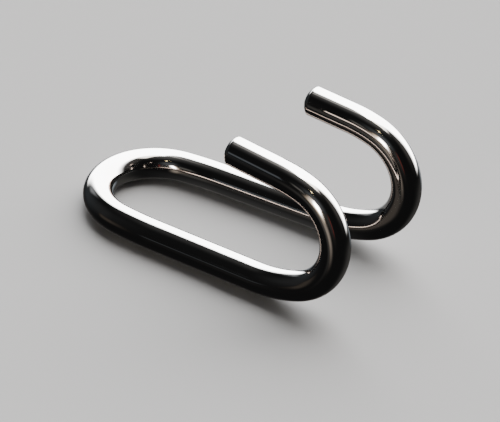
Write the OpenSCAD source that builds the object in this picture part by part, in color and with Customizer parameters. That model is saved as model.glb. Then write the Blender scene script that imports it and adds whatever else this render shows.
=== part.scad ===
// Nose hook: one length of round bar bent into a strap loop and two upright hooks,
// each curled back over its own leg to a prong with a domed end.
// Millimetres. It lies on its two legs and its loop, with +Z up and +X from loop to hooks.
// The origin is on the floor, under the middle of the whole outline.

/* [Bar] */
// Bar diameter
rod_d = 5; // [3:0.1:7]
// Height of the dome that each end of the bar is ground to
end_dome_h = 1.15; // [0.4:0.05:1.4]

/* [Strap loop] */
// Centreline radius of the loop's bend
loop_r = 10.2; // [8:0.1:14]
// Centreline radius of the easing bend between the loop and each leg
loop_ease_r = 59; // [30:1:120]
// Angle of the easing bend
loop_ease_deg = 7; // [2:0.5:15]
// Angle by which each leg spreads away from the middle
leg_splay_deg = 1.4; // [0:0.1:6]
// Length of each straight leg
leg_len = 19; // [8:0.5:40]

/* [Hooks] */
// Inward lean of each hook from upright
hook_lean_deg = 1; // [0:0.5:8]
// Centreline radius where the bar first leaves the floor
hook_entry_r = 22.2; // [12:0.1:40]
// Angle of that first bend
hook_entry_deg = 21.3; // [5:0.1:40]
// Centreline radius of the tight bend
hook_r = 9.45; // [7:0.05:14]
// Angle of the tight bend
hook_deg = 140.2; // [110:0.1:150]
// Centreline radius of the last bend
hook_exit_r = 19.8; // [12:0.1:40]
// Angle of the last bend
hook_exit_deg = 13.1; // [0.5:0.1:25]
// Length of the left straight prong, its domed end counted in
left_prong_len = 8.4; // [4:0.1:20]
// Length of the right straight prong, its domed end counted in
right_prong_len = 10.4; // [4:0.1:20]

/* [Hidden] */
$fn = 96;
rod_r = rod_d / 2;

// Radius of the domes' ball, and how far the bar's rim lies above the ball's centre
dome_r = (rod_r * rod_r + end_dome_h * end_dome_h) / (2 * end_dome_h);
rim_above = dome_r - end_dome_h;

// Plan angle that the loop's tight bend turns through on each side of its middle
loop_deg = 90 - leg_splay_deg - loop_ease_deg;

// Where one leg ends, measured along X from the loop's centre
ease_x = -loop_r * cos(loop_deg) + loop_ease_r * (cos(loop_deg) - sin(leg_splay_deg));
leg_end_x = ease_x + leg_len * cos(leg_splay_deg);

// How far the tight bend's outermost point reaches past the leg's end
hook_reach = (hook_entry_r - hook_r) * sin(hook_entry_deg) + hook_r + rod_r;

// X of the two ends of the whole outline, and of its middle
far_x = leg_end_x + hook_reach * cos(leg_splay_deg);
near_x = -loop_r - rod_r;
mid_x = (far_x + near_x) / 2;

// Turns below are made so exactly that a bend and the next length meet in one shared face.
// A placement is kept to six digits, so each turn is split in two at the angle
// that leaves the least error, and a last small turn takes up the rest.
function six(v) =
    v == 0 ? 0 : let (step = pow(10, 5 - floor(log(abs(v))))) round(v * step) / step;
function kept(a) = atan2(six(sin(a)), six(cos(a)));
function grown(a) = (2 * norm([six(cos(a)), six(sin(a))]) + 1) / 3;
function split_error(a, part) = abs(grown(a - part) * grown(part) - 1);
function best_split(a) =
    let (errors = [for (i = [20:800]) split_error(a, i / 10)])
    2 + search(min(errors), errors)[0] / 10;

// Turns its children about Z
module turn(angle) {
    part = best_split(angle);
    rotate([0, 0, angle - part])
        rotate([0, 0, part])
            rotate([0, 0, angle - kept(angle - part) - kept(part)])
                children();
}

// The bar swept through an angle about Z
module arc(radius, from, angle) {
    rotate_extrude(start = from, angle = angle, $fn = 240)
        translate([radius, 0])
            circle(r = rod_r);
}

// Carries its children round a bend that starts at the origin, along +X, and turns towards +Y
module past_bend(radius, angle) {
    translate([0, radius, 0])
        turn(angle)
            translate([0, -radius, 0])
                children();
}

// A bend of the bar, carried on by its children
module bend(radius, angle) {
    translate([0, radius, 0])
        arc(radius, -90, angle);
    past_bend(radius, angle)
        children();
}

// A straight length of the bar along +X, carried on by its children
module straight(length) {
    rotate([0, 90, 0])
        cylinder(r = rod_r, h = length);
    translate([length, 0, 0])
        children();
}

// A straight prong along +X: the bar with its free end ground to a dome
module prong(length) {
    rotate([0, 90, 0])
        difference() {
            cylinder(r = rod_r, h = length);
            difference() {
                translate([0, 0, length - dome_r + rim_above / 2])
                    cylinder(r = rod_d, h = dome_r);
                translate([0, 0, length - dome_r])
                    sphere(r = dome_r);
            }
        }
}

// One hook, rising from the end of its leg and curling back over it
module hook(prong_len) {
    rotate([-90, 0, 0])
        rotate([0, 90, 0])
            turn(hook_lean_deg)
                rotate([0, -90, 0])
                    bend(hook_entry_r, hook_entry_deg)
                        bend(hook_r, hook_deg)
                            bend(hook_exit_r, hook_exit_deg)
                                prong(prong_len);
}

// One leg with its hook, from the end of the loop's tight bend
module leg(prong_len) {
    translate([-loop_r, 0, 0])
        rotate([0, 0, 90])
            rotate([180, 0, 0])
                past_bend(loop_r, loop_deg)
                    bend(loop_ease_r, loop_ease_deg)
                        straight(leg_len)
                            hook(prong_len);
}

module hook_bar() {
    color([0.78, 0.79, 0.80])
        translate([-mid_x, 0, rod_r]) {
            arc(loop_r, 180 - loop_deg, 2 * loop_deg);
            leg(left_prong_len);
            mirror([0, 1, 0])
                leg(right_prong_len);
        }
}

hook_bar();
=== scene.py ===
import math

import bmesh
import bpy
from mathutils import Matrix, Vector


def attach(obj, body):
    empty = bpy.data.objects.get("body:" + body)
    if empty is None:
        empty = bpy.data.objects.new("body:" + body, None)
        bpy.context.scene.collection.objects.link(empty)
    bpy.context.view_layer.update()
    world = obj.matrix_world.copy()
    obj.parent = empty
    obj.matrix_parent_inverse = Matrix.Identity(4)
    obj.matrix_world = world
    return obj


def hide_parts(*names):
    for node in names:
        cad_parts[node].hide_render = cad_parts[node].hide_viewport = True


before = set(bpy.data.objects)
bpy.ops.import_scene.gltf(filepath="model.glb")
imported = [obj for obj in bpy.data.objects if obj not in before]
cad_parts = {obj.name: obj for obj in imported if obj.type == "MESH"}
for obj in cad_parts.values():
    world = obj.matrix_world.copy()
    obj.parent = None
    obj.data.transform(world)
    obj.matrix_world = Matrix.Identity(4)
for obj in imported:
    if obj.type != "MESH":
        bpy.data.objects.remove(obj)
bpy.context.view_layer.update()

MM = 0.001

# The bar's driving sizes, as in the part's source, in millimetres and degrees
BAR_D = 5.0
LOOP_R = 10.2
EASE_R, EASE_DEG = 59.0, 7.0
LEG_SPLAY_DEG, LEG_LEN = 1.4, 19.0
HOOK_LEAN_DEG = 1.0
ENTRY_R, ENTRY_DEG = 22.2, 21.3
HOOK_R, HOOK_DEG = 9.45, 140.2
EXIT_R, EXIT_DEG = 19.8, 13.1
LEFT_PRONG_LEN, RIGHT_PRONG_LEN = 8.4, 10.4
DOME_H = 1.15
# The small round that buffing leaves between the dome and the bar's side
DOME_RIM_R = 0.5

# How finely the polished bar is drawn: the rings' spacing in mm, the points on each, the
# rings on each round of a dome, and the least room in mm between a dome and the next ring
RING_STEP = 0.4
RING_POINTS = 72
DOME_RINGS = 11
DOME_ROOM = 0.15
# How far past its last ring a tip's middle lies on the bar's flat chart, in mm
TIP_CHART = 0.3


# ---------------------------------------------------------------- the bent bar

def bend_steps(radius, degrees):
    """Steps round a bend: the length walked and the step's place, from the bend's start."""
    count = max(2, math.ceil(radius * math.radians(degrees) / RING_STEP))
    for i in range(1, count + 1):
        angle = math.radians(degrees) * i / count
        place = Matrix.Translation((0, radius, 0)) @ Matrix.Rotation(angle, 4, "Z")
        yield radius * angle, place @ Matrix.Translation((0, -radius, 0))


def straight_steps(length):
    """Steps along a straight, as a bend's are given."""
    count = max(2, math.ceil(length / RING_STEP))
    for i in range(1, count + 1):
        yield length * i / count, Matrix.Translation((length * i / count, 0, 0))


def half_bar(prong_len):
    """Centreline of the left half, from the loop's middle to its prong's tip."""
    loop_deg = 90 - LEG_SPLAY_DEG - EASE_DEG
    turn, splay = math.radians(loop_deg), math.radians(LEG_SPLAY_DEG)
    # the hook's length is centred on the origin, from the loop's back to the hook's front
    leg_end = (EASE_R * (math.cos(turn) - math.sin(splay)) - LOOP_R * math.cos(turn)
               + LEG_LEN * math.cos(splay))
    reach = (ENTRY_R - HOOK_R) * math.sin(math.radians(ENTRY_DEG)) + HOOK_R + BAR_D / 2
    middle = (leg_end + reach * math.cos(splay) - LOOP_R - BAR_D / 2) / 2
    at = (Matrix.Translation((-middle - LOOP_R, 0, BAR_D / 2))
          @ Matrix.Rotation(math.radians(90), 4, "Z") @ Matrix.Rotation(math.pi, 4, "X"))
    stations = [(0.0, at)]
    walked = 0.0
    # the hook bends upwards out of the loop's plane, less its outward lean
    stand_up = math.radians(HOOK_LEAN_DEG - 90)
    for steps, roll in (
        (bend_steps(LOOP_R, loop_deg), 0),
        (bend_steps(EASE_R, EASE_DEG), 0),
        (straight_steps(LEG_LEN), 0),
        (bend_steps(ENTRY_R, ENTRY_DEG), stand_up),
        (bend_steps(HOOK_R, HOOK_DEG), 0),
        (bend_steps(EXIT_R, EXIT_DEG), 0),
        (straight_steps(prong_len), 0),
    ):
        at = at @ Matrix.Rotation(roll, 4, "X")
        start, length = at, 0.0
        for length, place in steps:
            at = start @ place
            stations.append((walked + length, at))
        walked += length
    return stations


def bar_stations():
    """Both halves in one run, from the right prong's tip to the left one's."""
    mirror = Matrix.Diagonal((1, -1, 1, 1))
    run = []
    for along, at in reversed(half_bar(RIGHT_PRONG_LEN)):
        run.append((-along, mirror @ at.translation, -(mirror @ at.col[0].xyz)))
    for along, at in half_bar(LEFT_PRONG_LEN)[1:]:
        run.append((along, at.translation, at.col[0].xyz))
    return run


def ring_frames(run):
    """Carries one sideways direction along the run without twist."""
    side = Vector((0, 0, 1))
    frames = []
    for along, point, heading in run:
        side = (side - heading * side.dot(heading)).normalized()
        frames.append((along, point, heading, side, heading.cross(side)))
    return frames


def dome_profile():
    """(distance back from the tip, radius) from the tip's middle out to the full bar."""
    r = BAR_D / 2
    ball = (r * r + DOME_H * DOME_H) / (2 * DOME_H)
    # the rim's round meets both the dome and the bar's side
    across = r - DOME_RIM_R
    back = ball - math.sqrt((ball - DOME_RIM_R) ** 2 - across ** 2)
    meet = math.asin(across / (ball - DOME_RIM_R))
    profile = []
    for i in range(1, DOME_RINGS + 1):
        angle = meet * i / DOME_RINGS
        profile.append((ball - ball * math.cos(angle), ball * math.sin(angle)))
    for i in range(1, DOME_RINGS + 1):
        angle = meet + (math.pi / 2 - meet) * i / DOME_RINGS
        profile.append((back - DOME_RIM_R * math.cos(angle),
                        across + DOME_RIM_R * math.sin(angle)))
    return profile


def bar_rings():
    """Every ring of the bar's skin, tip to tip, as (frame, radius) pairs."""
    frames = ring_frames(bar_stations())
    dome = dome_profile()
    first, last = frames[0], frames[-1]
    clear = dome[-1][0] + DOME_ROOM

    def shifted(end, off):
        along, point, heading, side, other = end
        return along + off, point + heading * off, heading, side, other

    rings = [(shifted(first, back), radius) for back, radius in dome]
    rings += [(f, BAR_D / 2) for f in frames if first[0] + clear < f[0] < last[0] - clear]
    rings += [(shifted(last, -back), radius) for back, radius in reversed(dome)]
    return rings, first[1], last[1]


def make_bar():
    """The polished bar's skin, with its chart along and around the bar in millimetres."""
    rings, first_tip, last_tip = bar_rings()
    mesh = bmesh.new()
    chart = mesh.loops.layers.uv.new("along and around, mm")
    loops = []
    for (along, point, _, side, other), radius in rings:
        loop = []
        for k in range(RING_POINTS):
            angle = 2 * math.pi * k / RING_POINTS
            out = side * math.cos(angle) + other * math.sin(angle)
            loop.append(mesh.verts.new((point + out * radius) * MM))
        loops.append((along, loop))

    def skin(corners):
        face = mesh.faces.new([vert for vert, _, _ in corners])
        face.smooth = True
        for corner, (_, along, round_it) in zip(face.loops, corners):
            corner[chart].uv = (along, round_it)

    around = 2 * math.pi * (BAR_D / 2) / RING_POINTS
    for (u0, a), (u1, b) in zip(loops, loops[1:]):
        for k in range(RING_POINTS):
            n = (k + 1) % RING_POINTS
            skin([(a[k], u0, k * around), (a[n], u0, (k + 1) * around),
                  (b[n], u1, (k + 1) * around), (b[k], u1, k * around)])
    for (u, loop), tip, facing in ((loops[0], first_tip, -1), (loops[-1], last_tip, 1)):
        middle = mesh.verts.new(tip * MM)
        for k in range(RING_POINTS):
            n = (k + 1) % RING_POINTS
            skin([(loop[k], u, k * around), (loop[n], u, (k + 1) * around),
                  (middle, u + facing * TIP_CHART, (k + 0.5) * around)])
    bmesh.ops.recalc_face_normals(mesh, faces=mesh.faces)
    data = bpy.data.meshes.new("polished_bar")
    mesh.to_mesh(data)
    mesh.free()
    polished_bar = bpy.data.objects.new("polished_bar", data)
    bpy.context.scene.collection.objects.link(polished_bar)
    return polished_bar


# ---------------------------------------------------------------- finishes

def linear(hex_colour):
    """An sRGB hex value as linear red, green, blue and alpha."""
    parts = [int(hex_colour[i:i + 2], 16) / 255 for i in (1, 3, 5)]
    return (*[c / 12.92 if c <= 0.04045 else ((c + 0.055) / 1.055) ** 2.4 for c in parts], 1.0)


def add(tree, kind, settings=(), **inputs):
    """Adds one node with its settings and its inputs, which are values or links.

    An input goes by its name, or by i and its number where names repeat."""
    node = tree.nodes.new(kind)
    for name, value in dict(settings).items():
        setattr(node, name, value)
    for name, value in inputs.items():
        numbered = name[0] == "i" and name[1:].isdigit()
        socket = node.inputs[int(name[1:]) if numbered else name.replace("_", " ")]
        if isinstance(value, bpy.types.NodeSocket):
            tree.links.new(value, socket)
        else:
            socket.default_value = value
    return node


# What buffing leaves on the steel, in mm: patches of faint haze, with their range of
# roughness, and a ripple too shallow to see as a shape, which makes the edges of the
# reflections waver a little
HAZE_PATCH = 6.0
HAZE_ROUGHNESS = 0.05, 0.09
RIPPLE_WIDTH = 0.5
RIPPLE_DEPTH = 0.0008


def mirror_polished_stainless_steel():
    """Round stainless bar, ground and then buffed to a mirror on a mop: it shows its
    surroundings almost sharply, with a faint haze where the buffing changes direction."""
    material = bpy.data.materials.new("mirror_polished_stainless_steel")
    material.use_nodes = True
    tree = material.node_tree
    shader = tree.nodes["Principled BSDF"]
    shader.inputs["Metallic"].default_value = 1.0
    place = add(tree, "ShaderNodeTexCoord").outputs["Object"]
    haze = add(tree, "ShaderNodeTexNoise", {"noise_dimensions": "3D"},
               Vector=place, Scale=1 / (HAZE_PATCH * MM), Detail=3.0)
    rough = add(tree, "ShaderNodeMapRange", Value=haze.outputs["Fac"],
                From_Min=0.3, From_Max=0.7,
                To_Min=HAZE_ROUGHNESS[0], To_Max=HAZE_ROUGHNESS[1])
    tree.links.new(rough.outputs["Result"], shader.inputs["Roughness"])
    tint = add(tree, "ShaderNodeMix", {"data_type": "RGBA"}, Factor=haze.outputs["Fac"],
               i6=linear("#D6D5D2"), i7=linear("#E2E2E1"))
    tree.links.new(tint.outputs[2], shader.inputs["Base Color"])
    ripple = add(tree, "ShaderNodeTexNoise", {"noise_dimensions": "3D"},
                 Vector=place, Scale=1 / (RIPPLE_WIDTH * MM), Detail=2.0)
    bump = add(tree, "ShaderNodeBump", Height=ripple.outputs["Fac"], Strength=1.0,
               Distance=RIPPLE_DEPTH * MM)
    tree.links.new(bump.outputs["Normal"], shader.inputs["Normal"])
    return material


def pale_floor_board():
    """Board with a coat of matt paint: it takes soft shadows and has no shine. Its grey
    shows pale under the bright studio."""
    material = bpy.data.materials.new("pale_matt_board")
    material.use_nodes = True
    shader = material.node_tree.nodes["Principled BSDF"]
    shader.inputs["Base Color"].default_value = linear("#848484")
    shader.inputs["Roughness"].default_value = 0.9
    shader.inputs["Specular IOR Level"].default_value = 0.1
    return material


# ---------------------------------------------------------------- studio

# Soft panels of light round the hook, as seen from it. Each has the bearing and height of
# its middle, its half width and half height, its tilt, the share of each half size that
# its soft edge takes, its colour and its strength. Angles are in degrees. A back panel's
# bearing is counted from straight behind, a front panel's from straight in front, and
# both grow towards the hooks' side.
BACK_PANELS = [
    # the large soft light behind and above, in two parts, and its reach overhead
    ((-27, 44), (31, 50), -7, (0.34, 0.12), "#FFFFFF", 14.0),
    ((10, 44), (35, 50), 0, (0.46, 0.12), "#FFFCFA", 14.0),
    ((66, 77), (26, 12), 0, (0.5, 0.5), "#FFF6EE", 5.0),
    # the glow of the walls and of the bench beside and below it
    ((-72, 24), (8, 12), 0, (0.8, 0.8), "#F4F6FA", 0.3),
    ((-15, -12), (35, 16), 0, (0.5, 0.6), "#E6EEF6", 0.45),
    ((68, 38), (18, 28), 0, (0.9, 0.8), "#E8DCD4", 0.07),
    ((-78, 0), (25, 30), 0, (0.9, 0.8), "#C8D4DE", 0.04),
    ((-85, 86), (38, 15), 0, (0.4, 0.8), "#F4EFEA", 0.8),
    ((0, 92), (200, 28), 0, (0.1, 0.8), "#F2EEEA", 0.13),
    ((-5, -40), (70, 26), 0, (0.6, 0.6), "#E6E0DA", 0.06),
]
FRONT_PANELS = [
    # the small warm light in front, and the skirt of light round it
    ((6, 10), (11, 5), 62, (0.5, 0.6), "#FFFAF4", 22.0),
    ((3, 7), (16, 8.5), 62, (0.6, 0.75), "#FFE6CC", 2.6),
    ((0, -15), (12, 16), 0, (0.9, 0.9), "#FFECDA", 0.34),
    ((-14, -20), (11, 14), 0, (0.9, 0.9), "#F0E8E0", 0.07),
    # faint things in the room, one of them red
    ((-10.5, 18), (4.5, 6), 0, (0.5, 0.9), "#F4EEE6", 0.13),
    ((16, 30), (20, 14), 0, (0.9, 0.9), "#E0E6EC", 0.12),
    ((-23, 10), (2.5, 6), 0, (0.4, 0.7), "#DCE6F0", 0.12),
    ((-27, -5), (3, 3), 0, (0.6, 0.8), "#E2E8F0", 0.05),
    ((38, 8), (2.5, 14), 0, (0.8, 0.6), "#D0523A", 0.24),
    ((30, 10), (12, 22), 0, (0.9, 0.9), "#E8DCD0", 0.04),
    # a small lamp high in the room
    ((21, 52), (2.4, 1.8), 0, (0.8, 0.8), "#FFE8B0", 10.0),
    ((-65, 15), (28, 32), 0, (0.8, 0.8), "#E0E2E6", 0.022),
    ((-50, -8), (14, 11), 0, (0.5, 0.8), "#EED8C4", 0.05),
]
ROOM_COLOUR, ROOM_STRENGTH = "#E8E8EA", 0.010
BACKDROP = "#E7E7E7"

# What is left of light that has met the steel twice, so that the bar's image of itself
# shows as thin warm lines: of the back panels', of the small front ones', and then of
# both where it has met the steel three times
BACK_HELD, FRONT_HELD, THIRD_HELD = "#82756E", "#3C3633", "#2A2624"
WHITE = "#FFFFFF"

# Glowing cards just over the floor by the bar, seen only in the steel, which paint a
# reflection of lit floor close by: the middle and half sizes in mm, the soft edge's share,
# the colour and the strength
PAINTED_FLOOR_REFLECTIONS = [
    ((11, -5.5), (10, 4.5), (0.6, 0.5), "#F0DCCC", 0.07),
    ((-2, 30), (16, 16), (0.4, 0.8), "#E8E6E4", 0.22),
]
CARD_HEIGHT = 0.05
# The floor's side, in metres
FLOOR_SIZE = 4.0


def soft_cover(tree, place, full, gone):
    """A soft-edged patch about the middle: 1 as far as full, and smoothly down to 0 at
    gone, both ways at once."""
    away = add(tree, "ShaderNodeVectorMath", {"operation": "ABSOLUTE"}, i0=place)
    fade = add(tree, "ShaderNodeMapRange",
               {"data_type": "FLOAT_VECTOR", "interpolation_type": "SMOOTHSTEP"},
               i6=away.outputs[0], i7=(*full, 0), i8=(*gone, 1), i9=(1, 1, 1), i10=(0, 0, 0))
    ways = add(tree, "ShaderNodeSeparateXYZ", Vector=fade.outputs[1])
    return add(tree, "ShaderNodeMath", {"operation": "MULTIPLY"},
               i0=ways.outputs[0], i1=ways.outputs[1]).outputs[0]


def light_of(tree, panels, bearing, height):
    """The light of one side's panels, the brightest one where they overlap."""
    chart = add(tree, "ShaderNodeCombineXYZ", X=bearing, Y=height)
    light = (0, 0, 0)
    for middle, half, tilt, soft, colour, strength in panels:
        place = add(tree, "ShaderNodeMapping", {"vector_type": "TEXTURE"},
                    Vector=chart.outputs[0], Location=(*middle, 0),
                    Rotation=(0, 0, math.radians(tilt)), Scale=(*half, 1))
        cover = soft_cover(tree, place.outputs[0], [1 - s for s in soft],
                           [1 + s for s in soft])
        # squared, as a soft box dims towards its edge
        dimmed = add(tree, "ShaderNodeMath", {"operation": "POWER"}, i0=cover, i1=2.0)
        lit = add(tree, "ShaderNodeVectorMath", {"operation": "SCALE"},
                  i0=[c * strength for c in linear(colour)[:3]], Scale=dimmed.outputs[0])
        light = add(tree, "ShaderNodeVectorMath", {"operation": "MAXIMUM"},
                    i0=light, i1=lit.outputs[0]).outputs[0]
    return light


def hold_back(tree, light, meetings, held):
    """Leaves a share of light that has met the steel more than so many times."""
    met = add(tree, "ShaderNodeLightPath").outputs["Glossy Depth"]
    more = add(tree, "ShaderNodeMath", {"operation": "GREATER_THAN"}, i0=met, i1=meetings)
    share = add(tree, "ShaderNodeMix", {"data_type": "RGBA"}, Factor=more.outputs[0],
                i6=linear(WHITE), i7=linear(held))
    return add(tree, "ShaderNodeVectorMath", {"operation": "MULTIPLY"},
               i0=light, i1=share.outputs[2]).outputs[0]


def studio_world():
    """The studio round the hook. The steel sees the panels, and a plain pale backdrop
    stands behind everything else."""
    world = bpy.data.worlds.new("studio")
    bpy.context.scene.world = world
    world.use_nodes = True
    tree = world.node_tree
    way = add(tree, "ShaderNodeTexCoord").outputs["Generated"]
    x, y, z = add(tree, "ShaderNodeSeparateXYZ", Vector=way).outputs
    rise = add(tree, "ShaderNodeMath", {"operation": "ARCSINE"}, i0=z)
    height = add(tree, "ShaderNodeMath", {"operation": "DEGREES"}, i0=rise.outputs[0])
    forward = add(tree, "ShaderNodeMath", {"operation": "MULTIPLY"}, i0=y, i1=-1.0)

    room = [c * ROOM_STRENGTH for c in linear(ROOM_COLOUR)[:3]]
    for panels, ahead, held in ((BACK_PANELS, y, BACK_HELD),
                                (FRONT_PANELS, forward.outputs[0], FRONT_HELD)):
        turn = add(tree, "ShaderNodeMath", {"operation": "ARCTAN2"}, i0=x, i1=ahead)
        bearing = add(tree, "ShaderNodeMath", {"operation": "DEGREES"}, i0=turn.outputs[0])
        light = light_of(tree, panels, bearing.outputs[0], height.outputs[0])
        light = hold_back(tree, light, 1.5, held)
        room = add(tree, "ShaderNodeVectorMath", {"operation": "ADD"},
                   i0=room, i1=light).outputs[0]
    room = hold_back(tree, room, 2.5, THIRD_HELD)
    straight = add(tree, "ShaderNodeLightPath").outputs["Is Camera Ray"]
    seen = add(tree, "ShaderNodeMix", {"data_type": "RGBA"}, Factor=straight,
               i6=room, i7=linear(BACKDROP))
    tree.links.new(seen.outputs[2], tree.nodes["Background"].inputs["Color"])


def lay_floor():
    bpy.ops.mesh.primitive_plane_add(size=FLOOR_SIZE)
    floor = bpy.context.object
    floor.name = "floor"
    floor.data.materials.append(pale_floor_board())
    # the steel shows the dark studio, not the board
    floor.visible_glossy = False


def painted_reflection_glow(name, soft, colour, strength):
    """A faint painted reflection of lit floor: its glow adds itself to what lies behind the
    card.
    """
    material = bpy.data.materials.new(name)
    material.use_nodes = True
    tree = material.node_tree
    tree.nodes.clear()
    place = add(tree, "ShaderNodeTexCoord").outputs["Object"]
    cover = soft_cover(tree, place, [(1 - s) / (1 + s) for s in soft], (1, 1))
    power = add(tree, "ShaderNodeMath", {"operation": "MULTIPLY"}, i0=cover, i1=strength)
    glow = add(tree, "ShaderNodeEmission", Color=linear(colour), Strength=power.outputs[0])
    clear = add(tree, "ShaderNodeBsdfTransparent")
    both = add(tree, "ShaderNodeAddShader", i0=glow.outputs[0], i1=clear.outputs[0])
    add(tree, "ShaderNodeOutputMaterial", Surface=both.outputs[0])
    return material


def lay_painted_reflection_card(name, middle, half, soft, colour, strength):
    """A glowing card that the steel alone sees: it paints a reflection of lit floor into the
    steel.
    """
    bpy.ops.mesh.primitive_plane_add(size=2)
    card = bpy.context.object
    card.name = name
    card.location = (middle[0] * MM, middle[1] * MM, CARD_HEIGHT * MM)
    card.scale = (*[h * (1 + s) * MM for h, s in zip(half, soft)], 1)
    card.data.materials.append(painted_reflection_glow(name, soft, colour, strength))
    card.visible_camera = False
    card.visible_diffuse = False
    card.visible_shadow = False


# The camera's bearing round from the side, its height and its roll, in degrees, where it
# looks, in mm, how far off it stands, in metres, and its lens and film width, in mm
CAMERA_BEARING, CAMERA_HEIGHT, CAMERA_ROLL = 28.53, 32.2, 4.985
CAMERA_AIM = (-2.20, 8.62, 0.0)
CAMERA_DISTANCE = 0.8366
CAMERA_LENS, CAMERA_FILM = 367.8, 36.0


def place_camera():
    """A long lens, well back, that looks down on the hook from the prongs' side."""
    bearing, height = math.radians(CAMERA_BEARING), math.radians(CAMERA_HEIGHT)
    roll = math.radians(CAMERA_ROLL)
    back = Vector((
        math.sin(bearing) * math.cos(height),
        -math.cos(bearing) * math.cos(height),
        math.sin(height),
    ))
    level = Vector((math.cos(bearing), math.sin(bearing), 0.0))
    upright = back.cross(level)
    right = level * math.cos(roll) + upright * math.sin(roll)
    up = upright * math.cos(roll) - level * math.sin(roll)
    data = bpy.data.cameras.new("camera")
    data.lens = CAMERA_LENS
    data.sensor_width = CAMERA_FILM
    data.clip_start, data.clip_end = 0.01, 100.0
    camera = bpy.data.objects.new("camera", data)
    bpy.context.scene.collection.objects.link(camera)
    spot = Matrix((right, up, back)).transposed().to_4x4()
    spot.translation = Vector(CAMERA_AIM) * MM + back * CAMERA_DISTANCE
    camera.matrix_world = spot
    bpy.context.scene.camera = camera


# ---------------------------------------------------------------- the scene

bar = make_bar()
bar.data.materials.append(mirror_polished_stainless_steel())
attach(bar, "root")
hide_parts("hook_bar")
studio_world()
lay_floor()
# glowing cards which paint a reflection of lit floor into the steel
for number, glow in enumerate(PAINTED_FLOOR_REFLECTIONS, 1):
    lay_painted_reflection_card(f"painted_floor_reflection_{number}", *glow)
place_camera()
